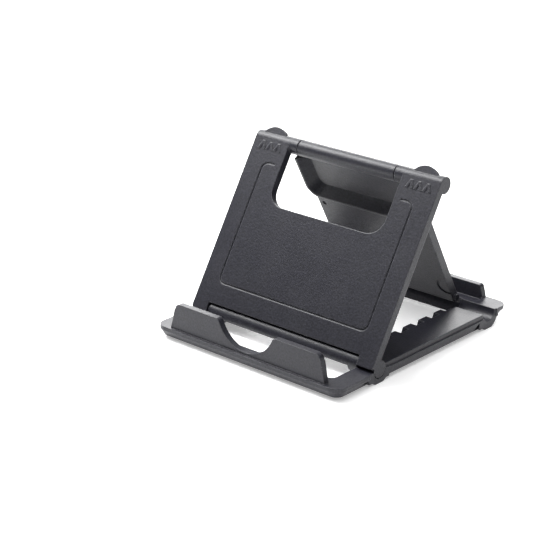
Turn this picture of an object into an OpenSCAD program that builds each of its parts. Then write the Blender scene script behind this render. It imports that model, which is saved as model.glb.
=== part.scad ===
// Folding phone stand: a base with a front and a rear lip, a backrest that hinges on the base,
// and a strut that hinges on the top of the backrest and leans on the rear of the base.
// The origin is on the ground, below the middle of the base. X runs along the hinges and Y to the rear.

/* [Overall] */
// Width of the stand along its hinges
stand_w = 83; // [80:0.5:90]
// Slope of the open backrest above the ground, in degrees
open_slope = 59.4; // [56:0.1:62]
// Opening of the strut from the backrest, in degrees
strut_opening = 61.3; // [58:0.1:62]
// Height of the lower hinge axis above the ground
pivot_h = 5.2; // [5.2:0.1:6]

/* [Hinges] */
// Distance between the lower and the upper hinge axis
hinge_span = 66.1; // [64:0.1:68]
// Radius of every hinge barrel
barrel_r = 3.05; // [2.8:0.05:3.2]
// Radius of the steel hinge pins
pin_r = 1; // [0.8:0.1:1.2]
// Running clearance of a pin in its turning barrel
pin_play = 0.05; // [0.03:0.01:0.1]

/* [Backrest] */
// Thickness of the backrest plate
rest_t = 3.1; // [2.8:0.1:3.2]
// Height of the folded backrest's face above the lower hinge axis
rest_face = 4.3; // [4.3:0.1:4.6]
// Half width of the U-shaped cut-out
cut_half_w = 25.5; // [25:0.1:26]
// Corner radius of the U-shaped cut-out
cut_r = 6.5; // [4:0.5:8]

/* [Strut] */
// Length of the strut from its hinge axis to its foot
strut_l = 67.4; // [66:0.1:67.5]
// Half width of the strut
strut_half_w = 25.1; // [22:0.1:25.1]
// Thickness of the strut plate
strut_t = 3.2; // [2.8:0.1:3.2]

/* [Base] */
// Distance from the lower hinge axis to the front edge
front_reach = 23; // [22:0.5:26]
// Height of the front lip above the lower hinge axis
lip_h = 9.5; // [9:0.1:10]
// Thickness of both lips
lip_t = 2.4; // [2:0.1:2.8]
// Extra width of the base's front and rear plates on each side
plate_overhang = 0.5; // [0:0.1:0.8]
// Number of support notches in each rail
notch_count = 5; // [2:1:5]

/* [Hidden] */
$fn = 48;
SHELL = "#3a3a3d";
STEEL = "#b9bcc0";
e = 0.05;                       // overshoot of cutting shapes
half_w = stand_w / 2;

// Lower hinge, along the width
post_in = 30.4;                 // inner end of the base's solid hinge posts
post_out = 34.3;                // outer end of those posts
knuckle_in = 34.7;              // inner face of the backrest's lower knuckles
cradle_r = barrel_r + 0.35;     // hollow that a barrel turns or lies in
foot_r = 5.6;                   // round underside of the cradles, cut flat where it stands
channel_r = barrel_r + 0.55;    // hollow of the rear channels
member_front = 67.8;            // lower front edge of the cross member behind the opening
bar_r = 3.7;                    // front hinge bar between the posts
bar_inner_r = 2.4;              // hollow inside that bar
bar_bottom = -0.8;              // open underside of that bar
bar_room = 0.35;                // gap between that bar and the turning backrest
pin_cover = 1.6;                // plastic outside a lower pin's end

// Upper hinge, in the folded stand
top_axis_h = rest_face - barrel_r;   // its height above the lower axis
stub_in = 21.9;                 // inner face of the backrest's upper barrels
strut_barrel = 21.5;            // half length of the strut's barrel
pin_depth = 6;                  // an upper pin's length in the backrest

// Base plates and rails
rear_reach = 78.2;              // lower axis to the rear edge
floor_z = -4.2;                 // underside of the plates and rails
front_top = -0.4;               // top of the front plate
rail_top = 1;                   // top of the rails
rail_ledge = -0.8;              // height of the step along each rail's outer side
rear_top = 1.4;                 // top of the rear plate
rear_bottom = -1.6;             // underside of the rear plate
well_half_w = 26.6;             // half width of the opening between the rails
well_rear = 70.6;               // rear end of that opening, above the cross member
well_front = -1;                // front end, below the hinge bar
channel_y = hinge_span;         // rear channels that take the folded backrest's barrels
corner_r = 4.5;
plate_half_w = half_w + plate_overhang;
lip_y = 1 - front_reach;        // front face of the front lip
front_open = 34.3;              // half width of the opening in front of the hinge bar
rail_start = 8;                 // front end of the rails' notched edge
centre_y = (rear_reach - front_reach) / 2;

// Notches in the rails
notch_pitch = 9.45;
notch_last = 51.2;              // steep side of the rearmost notch
notch_depth = 2;
notch_reach = 2.6;              // how far a notch goes into the rail

// Turns a shape from the folded backrest's frame into the open stand
module open_rest() {
    translate([0, -centre_y, pivot_h])
        rotate([open_slope, 0, 0])
            children();
}

// Turns a shape from the strut's own frame, hinge axis at the origin and foot along -Y, into the open stand
module open_strut() {
    open_rest()
        translate([0, hinge_span, top_axis_h])
            rotate([strut_opening, 0, 0])
                children();
}

// A cylinder along X between two stations
module rod(x0, x1, r, y = 0, z = 0) {
    translate([x0, y, z])
        rotate([0, 90, 0])
            cylinder(h = x1 - x0, r = r);
}

// A box between two corners
module span(x0, x1, y0, y1, z0, z1) {
    translate([x0, y0, z0])
        cube([x1 - x0, y1 - y0, z1 - z0]);
}

// An outline in the Y-Z plane pushed along X
module profile_x(x0, x1, points) {
    translate([x0, 0, 0])
        rotate([90, 0, 90])
            linear_extrude(height = x1 - x0)
                polygon(points);
}

// A rectangle with round corners, true arcs
module round_rect(x0, x1, y0, y1, r) {
    translate([x0 + r, y0])
        square([x1 - x0 - 2 * r, y1 - y0]);
    translate([x0, y0 + r])
        square([x1 - x0, y1 - y0 - 2 * r]);
    for (x = [x0 + r, x1 - r], y = [y0 + r, y1 - r])
        translate([x, y])
            circle(r = r);
}

// A plate with round corners between two heights
module slab(x0, x1, y0, y1, z0, z1, r) {
    translate([0, 0, z0])
        linear_extrude(height = z1 - z0)
            round_rect(x0, x1, y0, y1, r);
}

module both_sides() {
    children();
    mirror([1, 0, 0])
        children();
}

// ---------- Base ----------

// A lip with slanted ends, standing on y0 to y0 + lip_t
module lip_blank(y0, foot_half_w, top_half_w, z0, z1, r) {
    slope = (foot_half_w - top_half_w) / (z1 - z0);
    translate([0, y0 + lip_t, 0])
        rotate([90, 0, 0])
            linear_extrude(height = lip_t)
                union() {
                    polygon([[-foot_half_w, z0], [foot_half_w, z0], [top_half_w + slope * r, z1 - r],
                             [-top_half_w - slope * r, z1 - r]]);
                    translate([-top_half_w + r, z1 - r - e])
                        square([2 * (top_half_w - r), r + e]);
                    for (s = [-1, 1])
                        translate([s * (top_half_w - r + slope), z1 - r])
                            circle(r = r);
                }
}

// Front lip with the half-round way for a charging cable
module front_lip() {
    foot_half_w = 35.3;
    top_half_w = 32.8;
    round_r = 2.2;
    way_r = 13.2;
    way_z = lip_h + 4.25;
    shoulder_r = 1.5;
    shoulder_x = sqrt(pow(way_r + shoulder_r, 2) - pow(way_z - lip_h + shoulder_r, 2));
    touch = way_r / (way_r + shoulder_r);
    difference() {
        lip_blank(lip_y, foot_half_w, top_half_w, front_top - 1, lip_h, round_r);
        translate([0, 0, way_z])
            rotate([90, 0, 0])
                cylinder(h = 2 * front_reach, r = way_r);
        // The rim of the way turns over in a small radius on each side
        both_sides()
            difference() {
                span(shoulder_x * touch - 0.6, shoulder_x, lip_y - e, lip_y + lip_t + e,
                     way_z - (way_z - lip_h + shoulder_r) * touch, lip_h + e);
                translate([shoulder_x, 0, lip_h - shoulder_r])
                    rotate([90, 0, 0])
                        cylinder(h = 2 * front_reach, r = shoulder_r);
            }
    }
}

module rear_lip() {
    foot_half_w = 32.2;
    top_half_w = 30.6;
    top = 6.2;
    round_r = 1.3;
    lip_blank(rear_reach - lip_t, foot_half_w, top_half_w, rear_top - 1, top, round_r);
}

// Foot under a cradle: a round boss, cut flat where it stands
module foot(y, x0, top) {
    difference() {
        rod(x0, half_w, foot_r, y);
        span(x0 - e, half_w + e, y - foot_r - e, y + foot_r + e, top, foot_r + e);
        span(x0 - e, half_w + e, y - foot_r - e, y + foot_r + e, -foot_r - e, -pivot_h);
    }
}

// One rail, with its ledge and its row of notches
module rail() {
    ledge_w = 0.45;
    flat_end = 56.2;
    slope_end = 59;
    drop = 1.6;
    easy_side = 4;
    notch_floor = 0.7;
    steep_side = 0.9;
    difference() {
        union() {
            span(well_half_w, half_w, rail_start, channel_y, floor_z, rail_ledge);
            span(well_half_w, half_w - ledge_w, rail_start, channel_y, rail_ledge - e, rail_top);
            span(post_in, half_w, 0, rail_start + e, floor_z, rail_ledge);
            span(post_in, half_w - ledge_w, 0, rail_start + e, rail_ledge - e, rail_top);
        }
        // The rail runs down into the channel behind its last flat
        profile_x(well_half_w - e, well_half_w + notch_reach,
                  [[flat_end, rail_top + e], [slope_end, rail_top - drop], [channel_y, rail_top - drop],
                   [channel_y, rail_top + e]]);
        for (i = [0 : notch_count - 1]) {
            y = notch_last - i * notch_pitch;
            profile_x(well_half_w - e, well_half_w + notch_reach,
                      [[y - easy_side, rail_top + e], [y - notch_floor, rail_top - notch_depth],
                       [y, rail_top - notch_depth], [y + steep_side, rail_top + e]]);
        }
    }
}

// Cross member behind the opening, which the open strut's foot stands against
module cross_member() {
    difference() {
        rod(-well_half_w - 1, well_half_w + 1, foot_r, channel_y);
        span(-half_w, half_w, channel_y - foot_r - e, channel_y + foot_r + e, rear_bottom + 1, foot_r + e);
        span(-half_w, half_w, channel_y - foot_r - e, channel_y + foot_r + e, -foot_r - e, floor_z);
    }
    span(-well_half_w - 1, well_half_w + 1, well_rear, channel_y + 5, rear_bottom, rear_top);
}

// Slope along the lower outer edge of the rails
module rail_taper() {
    side = 1.5;
    rise = 1.2;
    both_sides()
        translate([0, channel_y - foot_r, 0])
            rotate([90, 0, 0])
                linear_extrude(height = channel_y - 2 * foot_r)
                    polygon([[plate_half_w - side, floor_z - e], [plate_half_w + 1, floor_z - e],
                             [plate_half_w + 1, floor_z + rise + 0.7], [plate_half_w, floor_z + rise]]);
}

// Slope round the lower edge of a plate: along its sides from y_in, round its two corners and along its end.
// dir is -1 for a plate that ends at the front and 1 for one that ends at the rear
module plate_taper(y_in, y_end, dir, z0, inset, rise) {
    lean = inset / rise;
    top = z0 + rise * (1 + 1 / inset);
    y_out = y_end + dir;
    y_corner = y_end - dir * corner_r;
    both_sides() {
        translate([0, max(y_in, y_out), 0])
            rotate([90, 0, 0])
                linear_extrude(height = abs(y_out - y_in))
                    polygon([[plate_half_w - inset - lean * e, z0 - e], [plate_half_w + 1, z0 - e],
                             [plate_half_w + 1, top]]);
        difference() {
            span(plate_half_w - corner_r, plate_half_w + 1, min(y_corner, y_out), max(y_corner, y_out),
                 z0 - e, z0 + rise + e);
            translate([plate_half_w - corner_r, y_corner, z0 - 1])
                cylinder(h = rise + 2, r1 = corner_r - inset - lean, r2 = corner_r + lean);
        }
    }
    profile_x(-plate_half_w - 1, plate_half_w + 1,
              [[y_end - dir * (inset + lean * e), z0 - e], [y_out, z0 - e], [y_out, top]]);
}

// Shell of the front hinge bar between its posts, open below and at the rear
module hinge_bar() {
    difference() {
        rod(-post_out, post_out, bar_r);
        difference() {
            rod(-post_in, post_in, bar_inner_r);
            span(-post_in, post_in, -e, bar_r, 1.2, bar_r);
        }
        span(-post_in, post_in, -bar_r - e, bar_r + e, -bar_r - e, bar_bottom);
        span(-post_in, post_in, 0, bar_r + e, -bar_r, 1.2);
    }
}

// Shallow pockets in the side walls next to the feet
module side_pocket() {
    depth = 1.1;
    low = -3.4;
    gap = 0.3;                  // wall left between a pocket and its foot
    front_y = -foot_r - gap;
    rear_y = channel_y - foot_r - gap;
    profile_x(half_w - depth, half_w + e, [[front_y - 3.7, low], [front_y, low + 2.4], [front_y, low]]);
    profile_x(half_w - depth, half_w + e, [[rear_y - 4.3, low], [rear_y, low + 2.1], [rear_y, low]]);
}

module base_frame() {
    plate_rear = 8;             // the front plate reaches this far below the hinge
    open_front = -16.6;         // front and rear end of the opening in the front plate
    open_rear = -2;
    open_r = 2.5;
    rear_plate_y = channel_y + 4.4;
    recess_half_w = 32;
    recess_y = 71.6;
    recess_depth = 0.8;
    recess_r = 0.9;
    color(SHELL)
        translate([0, -centre_y, pivot_h])
            difference() {
                union() {
                    // Front plate round its opening
                    difference() {
                        slab(-plate_half_w, plate_half_w, -front_reach, plate_rear, floor_z, front_top, corner_r);
                        slab(-front_open, front_open, open_front, open_rear, floor_z - e, front_top + e, open_r);
                        span(-post_in, post_in, open_rear - 3, plate_rear + 1, floor_z - e, front_top + e);
                        // The plate ends in front of the hinge
                        span(half_w, plate_half_w + e, -foot_r, plate_rear + 1, floor_z - e, front_top + e);
                        span(-plate_half_w - e, -half_w, -foot_r, plate_rear + 1, floor_z - e, front_top + e);
                        span(-well_half_w, well_half_w, well_front, plate_rear + 1, floor_z - e, front_top + e);
                    }
                    front_lip();
                    // Rear plate
                    difference() {
                        slab(-plate_half_w, plate_half_w, channel_y - 9, rear_reach, rear_bottom, rear_top,
                             corner_r);
                        span(-plate_half_w - e, plate_half_w + e, channel_y - 10, rear_plate_y,
                             rear_bottom - e, rear_top + e);
                    }
                    rear_lip();
                    both_sides() {
                        rail();
                        span(post_in, half_w, -1, 6, floor_z, -cradle_r + 0.4);
                        foot(0, front_open, rail_ledge);
                        foot(channel_y, well_half_w, rail_ledge);
                        span(well_half_w - 1, half_w, channel_y, channel_y + 5, rear_bottom, rear_top);
                    }
                    hinge_bar();
                    cross_member();
                }
                both_sides() {
                    // Hollow for the backrest's lower knuckle
                    rod(knuckle_in - 0.4, half_w + 1, cradle_r);
                    span(knuckle_in - 0.4, half_w + 1, -cradle_r, cradle_r, 0, 9);
                    // Rear channel for the folded backrest's upper barrel
                    rod(well_half_w - 1, half_w + 1, channel_r, channel_y, top_axis_h);
                    span(well_half_w - 1, half_w + 1, channel_y - channel_r, channel_y + channel_r, top_axis_h, 9);
                    // Bore for the hinge pin
                    rod(post_in - 1, knuckle_in, pin_r + pin_play);
                    side_pocket();
                }
                // Opening between the rails, where the strut swings through
                profile_x(-well_half_w, well_half_w,
                          [[well_front, bar_bottom], [well_front, -foot_r - 1], [member_front - 1, -foot_r - 1],
                           [member_front, floor_z], [well_rear, 0.6], [well_rear, foot_r], [cradle_r, foot_r],
                           [cradle_r, bar_bottom]]);
                rail_taper();
                plate_taper(-foot_r, -front_reach, -1, floor_z, 1.5, 2.4);
                plate_taper(channel_y + foot_r, rear_reach, 1, rear_bottom, 1.4, 1.8);
                // Shallow recess in front of the rear lip
                slab(-recess_half_w, recess_half_w, recess_y, rear_reach - lip_t, rear_top - recess_depth,
                     rear_top + e, recess_r);
            }
}

// ---------- Backrest, drawn folded: hinge axis at the origin, phone side up ----------

// U-shaped decorative groove
module groove() {
    depth = 0.35;
    w = 0.7;
    outer_r = 3;
    outer_half_w = 34.1;
    low_y = 9.9;
    high_y = 57.5;
    return_x = 28.4;            // where the groove's two upper ends stop
    translate([0, 0, rest_face - depth])
        linear_extrude(height = depth + e)
            difference() {
                round_rect(-outer_half_w, outer_half_w, low_y, high_y, outer_r);
                round_rect(-outer_half_w + w, outer_half_w - w, low_y + w, high_y - w, outer_r - w);
                translate([-return_x, high_y - 17.5])
                    square([2 * return_x, 20]);
            }
}

// Three small arrowheads that point to the thumb tab
module arrow_mark() {
    relief = 0.3;
    pitch = 3.6;
    middle_x = 33.4;
    mark_y = 61.7;
    for (i = [-1, 0, 1])
        translate([middle_x + i * pitch, mark_y, rest_face - e])
            linear_extrude(height = relief + e)
                polygon([[-1.7, 0], [-0.8, 0], [0, 1.9], [0.8, 0], [1.7, 0], [0.45, 3], [-0.45, 3]]);
}

module thumb_tab() {
    tab_r = 6.4;
    tab_x = 33.7;
    tab_y = hinge_span - 1.6;
    thickness = 1.9;
    below_face = 0.7;
    translate([tab_x, tab_y, rest_face - below_face - thickness])
        cylinder(h = thickness, r = tab_r);
}

module backrest() {
    plate_end = hinge_span;
    rear_face = rest_face - rest_t;
    cut_y = hinge_span - 23.6;  // lower end of the cut-out
    edge_y = 2.2;               // lower edge of the plate above the hinge bar
    color(SHELL)
        open_rest()
            difference() {
                union() {
                    slab(-half_w, half_w, -1.4, plate_end + 1.2, rear_face, rest_face, 1);
                    both_sides() {
                        rod(knuckle_in, half_w, barrel_r);
                        rod(stub_in, half_w, barrel_r, hinge_span, top_axis_h);
                        thumb_tab();
                        arrow_mark();
                    }
                }
                // The plate ends in the round of the upper barrel
                difference() {
                    span(-half_w - 1, half_w + 1, hinge_span, hinge_span + 3, top_axis_h, rest_face + 1);
                    rod(-half_w - 2, half_w + 2, barrel_r, hinge_span, top_axis_h);
                    both_sides()
                        thumb_tab();
                }
                // U-shaped cut-out and the gap for the strut's barrel
                difference() {
                    slab(-cut_half_w, cut_half_w, cut_y, plate_end + 12, rear_face - e, rest_face + e, cut_r);
                    both_sides()
                        rod(stub_in, cut_half_w + 1, barrel_r, hinge_span, top_axis_h);
                }
                // Room for the base's hinge bar
                span(-knuckle_in, knuckle_in, -9, edge_y, rear_face - 1, rest_face + 1);
                rod(-knuckle_in, knuckle_in, bar_r + bar_room);
                both_sides() {
                    rod(knuckle_in - 1, half_w - pin_cover, pin_r);
                    rod(stub_in - 1, stub_in + pin_depth, pin_r, hinge_span, top_axis_h);
                }
                groove();
            }
}

// ---------- Strut, drawn folded: hinge axis at the origin, foot towards -Y ----------

front_o = -0.5;                 // phone side of the plate above the hinge axis
rim_o = 2.6;                    // rim of the thumb scoop
scoop_end = 22.8;               // how far the scoop block reaches down the strut
scoop_r = 5.5;
scoop_floor = -1.2;
barrel_room = 3.9;              // where the plate's wings start, clear of the backrest's barrels

// Block that fills the backrest's cut-out when folded, with the scoop for the thumb
module scoop_block() {
    wall = 0.9;
    slope_w = 6;
    difference() {
        difference() {
            slab(-strut_half_w, strut_half_w, -scoop_end, 9, front_o - 1, rim_o, scoop_r);
            span(-strut_half_w - 1, strut_half_w + 1, -barrel_room, 10, front_o - 2, rim_o + 1);
        }
        hull() {
            slab(-strut_half_w + wall, strut_half_w - wall, -scoop_end + wall, 9, rim_o, rim_o + 1, scoop_r - wall);
            slab(-strut_half_w + slope_w, strut_half_w - slope_w, -scoop_end + slope_w, 9, scoop_floor, rim_o, 3);
        }
    }
}

module strut() {
    rear_o = front_o - strut_t;
    ear = 1;
    toe_r = 1.2;                // round of the foot
    color(SHELL)
        open_strut()
            difference() {
                union() {
                    rod(-strut_barrel, strut_barrel, barrel_r);
                    difference() {
                        slab(-strut_half_w, strut_half_w, -strut_l, 2, rear_o, front_o, 0.8);
                        // Round the foot's upper edge so that it tucks under the front bar
                        difference() {
                            span(-30, 30, -strut_l - 1, -strut_l + toe_r, front_o - toe_r, 9);
                            rod(-30, 30, toe_r, -strut_l + toe_r, front_o - toe_r);
                        }
                    }
                    scoop_block();
                    // Ears at the foot, which stop just short of the notches
                    rod(-strut_half_w - ear, strut_half_w + ear, toe_r, -strut_l + 1.9, front_o - 1.6);
                }
                // Room for the backrest's barrels
                both_sides() {
                    span(strut_barrel, 40, -barrel_room, 9, rear_o - 1, rim_o + 1);
                    rod(strut_barrel - pin_depth, strut_barrel + 1, pin_r + pin_play);
                }
                // The plate's top runs out into the round of the barrel
                difference() {
                    profile_x(-40, 40, [[-barrel_room - 1, rear_o - e], [9, rear_o - e], [9, 9], [0, 9], [0, -1.5],
                                        [-barrel_room, -1.5]]);
                    rod(-41, 41, barrel_r);
                    profile_x(-41, 41, [[-9, rear_o - 1], [-4.2, rear_o - 1], [-4.2, rear_o], [-1.2, -2.8], [0, 0],
                                        [-9, 0]]);
                }
                // Small crescents and dimples on the phone side
                both_sides() {
                    translate([23.6, -59, front_o - 0.5])
                        difference() {
                            cylinder(h = 1, r = 3.7);
                            translate([0.9, 0.9, -e])
                                cylinder(h = 2, r = 3.5);
                        }
                    translate([22.4, -29, front_o - 0.35])
                        cylinder(h = 1, r = 1);
                }
            }
}

// ---------- Hinge pins ----------

module lower_pin(side) {
    inner = post_in + 0.4;
    outer = half_w - pin_cover;
    color(STEEL)
        translate([0, -centre_y, pivot_h])
            rod(side > 0 ? inner : -outer, side > 0 ? outer : -inner, pin_r);
}

module upper_pin(side) {
    inner = strut_barrel - pin_depth + 0.4;
    outer = stub_in + pin_depth;
    color(STEEL)
        open_rest()
            rod(side > 0 ? inner : -outer, side > 0 ? outer : -inner, pin_r, hinge_span, top_axis_h);
}

module lower_pin_left() {
    lower_pin(-1);
}

module lower_pin_right() {
    lower_pin(1);
}

module upper_pin_left() {
    upper_pin(-1);
}

module upper_pin_right() {
    upper_pin(1);
}

base_frame();
backrest();
strut();
lower_pin_left();
lower_pin_right();
upper_pin_left();
upper_pin_right();
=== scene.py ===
import math

import bpy
from mathutils import Matrix, Vector

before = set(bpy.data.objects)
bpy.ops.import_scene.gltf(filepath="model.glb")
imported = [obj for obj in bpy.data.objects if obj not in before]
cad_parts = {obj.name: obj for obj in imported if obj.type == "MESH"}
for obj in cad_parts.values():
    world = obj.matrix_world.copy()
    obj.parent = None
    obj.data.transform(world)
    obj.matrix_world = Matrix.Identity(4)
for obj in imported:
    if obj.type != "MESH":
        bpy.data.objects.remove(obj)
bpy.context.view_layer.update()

MM = 0.001

# The camera, in millimetres and degrees: yaw turns from +Y towards +X, pitch looks down
CAM_POS = (344.08, -444.15, 235.1)
CAM_YAW = -40.345
CAM_PITCH = 20.68
CAM_ROLL = 1.30
CAM_LENS = 112.3
CAM_SENSOR = 36
CAM_CLIP = 10

# The charcoal plastic
CHARCOAL = (0.016, 0.016, 0.0225)
EDGE_HIGHLIGHT_COLOUR = (0.07, 0.071, 0.08)    # colour of the painted highlight along edges
EDGE_ROUND_MM = 0.45                # radius that edges are shaded round with
EDGE_SAMPLES = 6
EDGE_HIGHLIGHT_RANGE = (1.0, 0.82)            # from a flat face to the edge with the fullest painted highlight, as a cosine
GRAIN_MM = 0.7                      # size of the mould's grain
GRAIN_DEPTH_MM = 0.09
GRAIN_STRENGTH = 0.8
GRAIN_RANGE = (0.3, 0.7)            # part of the noise that the specks use
SPECK_RANGE = (0.55, 1.45)          # darkest and lightest speck, times the colour
CLOUDS_PER_M = 90
ROUGH_RANGE = (0.33, 0.47)
SHINE = 0.4

# The drawn steel wire of the pins
STEEL = (0.62, 0.63, 0.65)
DRAW_SCALE = (40, 3000, 3000)       # long streaks along the wire
WIRE_ROUGH_RANGE = (0.22, 0.42)

# The white studio
FLOOR_SIZE = 4.0
FLOOR_WHITE = 0.85
FLOOR_ROUGH = 0.6
FLOOR_GLOW = 0.34
WORLD_STRENGTH = 0.12


def camera():
    """Looks along yaw and pitch, then rolls about that line of sight."""
    yaw = math.radians(CAM_YAW)
    pitch = math.radians(CAM_PITCH)
    roll = math.radians(CAM_ROLL)
    forward = Vector((math.sin(yaw) * math.cos(pitch), math.cos(yaw) * math.cos(pitch), -math.sin(pitch)))
    level_right = Vector((math.cos(yaw), -math.sin(yaw), 0))
    level_up = level_right.cross(forward)
    right = level_right * math.cos(roll) + level_up * math.sin(roll)
    up = level_up * math.cos(roll) - level_right * math.sin(roll)
    data = bpy.data.cameras.new("photo_camera")
    data.sensor_width = CAM_SENSOR
    data.lens = CAM_LENS
    data.clip_start = CAM_CLIP * MM
    cam = bpy.data.objects.new("photo_camera", data)
    basis = Matrix((right, up, -forward)).transposed().to_4x4()
    cam.matrix_world = Matrix.Translation(Vector(CAM_POS) * MM) @ basis
    bpy.context.scene.collection.objects.link(cam)
    bpy.context.scene.camera = cam


def area_light(name, pos, aim, size, watts):
    """A rectangular light at pos that faces aim, in metres."""
    data = bpy.data.lights.new(name, "AREA")
    data.shape = "RECTANGLE"
    data.size, data.size_y = size
    data.energy = watts
    lamp = bpy.data.objects.new(name, data)
    lamp.location = pos
    lamp.rotation_euler = (Vector(aim) - Vector(pos)).to_track_quat("-Z", "Y").to_euler()
    bpy.context.scene.collection.objects.link(lamp)


def lights():
    area_light("softbox_top", pos=(-0.34, -0.07, 0.46), aim=(0, 0, 0.04), size=(0.34, 0.34), watts=5.3)
    area_light("softbox_back", pos=(-0.62, 0.74, 0.38), aim=(0, 0, 0.02), size=(0.8, 0.4), watts=8)
    area_light("ceiling", pos=(0.1, -0.1, 1.6), aim=(0, 0, 0), size=(2.2, 2.2), watts=34)
    world = bpy.data.worlds.new("studio")
    bpy.context.scene.world = world
    world.use_nodes = True
    background = world.node_tree.nodes["Background"]
    background.inputs["Color"].default_value = (1, 1, 1, 1)
    background.inputs["Strength"].default_value = WORLD_STRENGTH
    bpy.context.scene.view_settings.view_transform = "Standard"


def new_material(name):
    """Returns a new material, its node tree and its shader."""
    mat = bpy.data.materials.new(name)
    mat.use_nodes = True
    return mat, mat.node_tree, mat.node_tree.nodes["Principled BSDF"]


def noise(tree, vector, scale, detail, roughness):
    node = tree.nodes.new("ShaderNodeTexNoise")
    node.inputs["Scale"].default_value = scale
    node.inputs["Detail"].default_value = detail
    node.inputs["Roughness"].default_value = roughness
    tree.links.new(vector, node.inputs["Vector"])
    return node.outputs["Fac"]


def remap(tree, value, source, target):
    """Carries value from the source range to the target range, and holds it there."""
    node = tree.nodes.new("ShaderNodeMapRange")
    for socket, number in zip(("From Min", "From Max", "To Min", "To Max"), (*source, *target)):
        node.inputs[socket].default_value = number
    tree.links.new(value, node.inputs["Value"])
    return node.outputs["Result"]


def floor():
    bpy.ops.mesh.primitive_plane_add(size=FLOOR_SIZE, location=(0, 0, 0))
    plane = bpy.context.object
    plane.name = "studio_floor"
    mat, _, bsdf = new_material("studio_floor")
    bsdf.inputs["Base Color"].default_value = (FLOOR_WHITE, FLOOR_WHITE, FLOOR_WHITE, 1)
    bsdf.inputs["Roughness"].default_value = FLOOR_ROUGH
    bsdf.inputs["Emission Color"].default_value = (1, 1, 1, 1)
    bsdf.inputs["Emission Strength"].default_value = FLOOR_GLOW
    plane.data.materials.append(mat)


def paint_edge_highlight(tree, round_normal):
    """Rises from 0 on a flat face to 1 where the rounded normal leans away from it; this mask paints a
    highlight along the edges.
    """
    geometry = tree.nodes.new("ShaderNodeNewGeometry")
    dot = tree.nodes.new("ShaderNodeVectorMath")
    dot.operation = "DOT_PRODUCT"
    tree.links.new(round_normal, dot.inputs[0])
    tree.links.new(geometry.outputs["True Normal"], dot.inputs[1])
    return remap(tree, dot.outputs["Value"], EDGE_HIGHLIGHT_RANGE, (0, 1))


def plastic_colour(tree, highlight_mask, grain):
    """Charcoal that pales with a painted highlight along its edges, with light and dark specks."""
    tint = tree.nodes.new("ShaderNodeMixRGB")
    tint.inputs["Color1"].default_value = (*CHARCOAL, 1)
    tint.inputs["Color2"].default_value = (*EDGE_HIGHLIGHT_COLOUR, 1)
    tree.links.new(highlight_mask, tint.inputs["Fac"])
    speckle = tree.nodes.new("ShaderNodeVectorMath")
    speckle.operation = "SCALE"
    tree.links.new(tint.outputs["Color"], speckle.inputs[0])
    tree.links.new(remap(tree, grain, GRAIN_RANGE, SPECK_RANGE), speckle.inputs["Scale"])
    return speckle.outputs["Vector"]


def grain_relief(tree, round_normal, grain):
    """The specks in relief, on top of the rounded edges."""
    bump = tree.nodes.new("ShaderNodeBump")
    bump.inputs["Strength"].default_value = GRAIN_STRENGTH
    bump.inputs["Distance"].default_value = GRAIN_DEPTH_MM * MM
    tree.links.new(grain, bump.inputs["Height"])
    tree.links.new(round_normal, bump.inputs["Normal"])
    return bump.outputs["Normal"]


def moulded_plastic():
    """Charcoal plastic from a spark-eroded mould: a fine grain, cloudy sheen and a painted highlight that
    pales the edges.
    """
    mat, tree, bsdf = new_material("moulded_plastic")
    place = tree.nodes.new("ShaderNodeTexCoord").outputs["Object"]
    grain = noise(tree, place, scale=1 / (GRAIN_MM * MM), detail=3.0, roughness=0.6)
    cloud = noise(tree, place, scale=CLOUDS_PER_M, detail=4.0, roughness=0.55)
    bevel = tree.nodes.new("ShaderNodeBevel")
    bevel.samples = EDGE_SAMPLES
    bevel.inputs["Radius"].default_value = EDGE_ROUND_MM * MM
    round_normal = bevel.outputs["Normal"]
    # painted highlight: the edges are coloured paler where the rounded normal leans away from the face
    highlight_mask = paint_edge_highlight(tree, round_normal)
    tree.links.new(plastic_colour(tree, highlight_mask, grain), bsdf.inputs["Base Color"])
    tree.links.new(remap(tree, cloud, (0, 1), ROUGH_RANGE), bsdf.inputs["Roughness"])
    tree.links.new(grain_relief(tree, round_normal, grain), bsdf.inputs["Normal"])
    bsdf.inputs["Specular IOR Level"].default_value = SHINE
    return mat


def drawn_wire():
    """Bright steel with streaks from the drawing die."""
    mat, tree, bsdf = new_material("drawn_wire")
    coord = tree.nodes.new("ShaderNodeTexCoord")
    mapping = tree.nodes.new("ShaderNodeMapping")
    mapping.inputs["Scale"].default_value = DRAW_SCALE
    tree.links.new(coord.outputs["Object"], mapping.inputs["Vector"])
    streaks = noise(tree, mapping.outputs["Vector"], scale=1.0, detail=2.0, roughness=0.5)
    tree.links.new(remap(tree, streaks, (0, 1), WIRE_ROUGH_RANGE), bsdf.inputs["Roughness"])
    bsdf.inputs["Metallic"].default_value = 1.0
    bsdf.inputs["Base Color"].default_value = (*STEEL, 1)
    return mat


camera()
lights()
floor()
plastic = moulded_plastic()
steel = drawn_wire()
for name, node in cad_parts.items():
    for slot in node.material_slots:
        slot.material = steel if "pin" in name else plastic
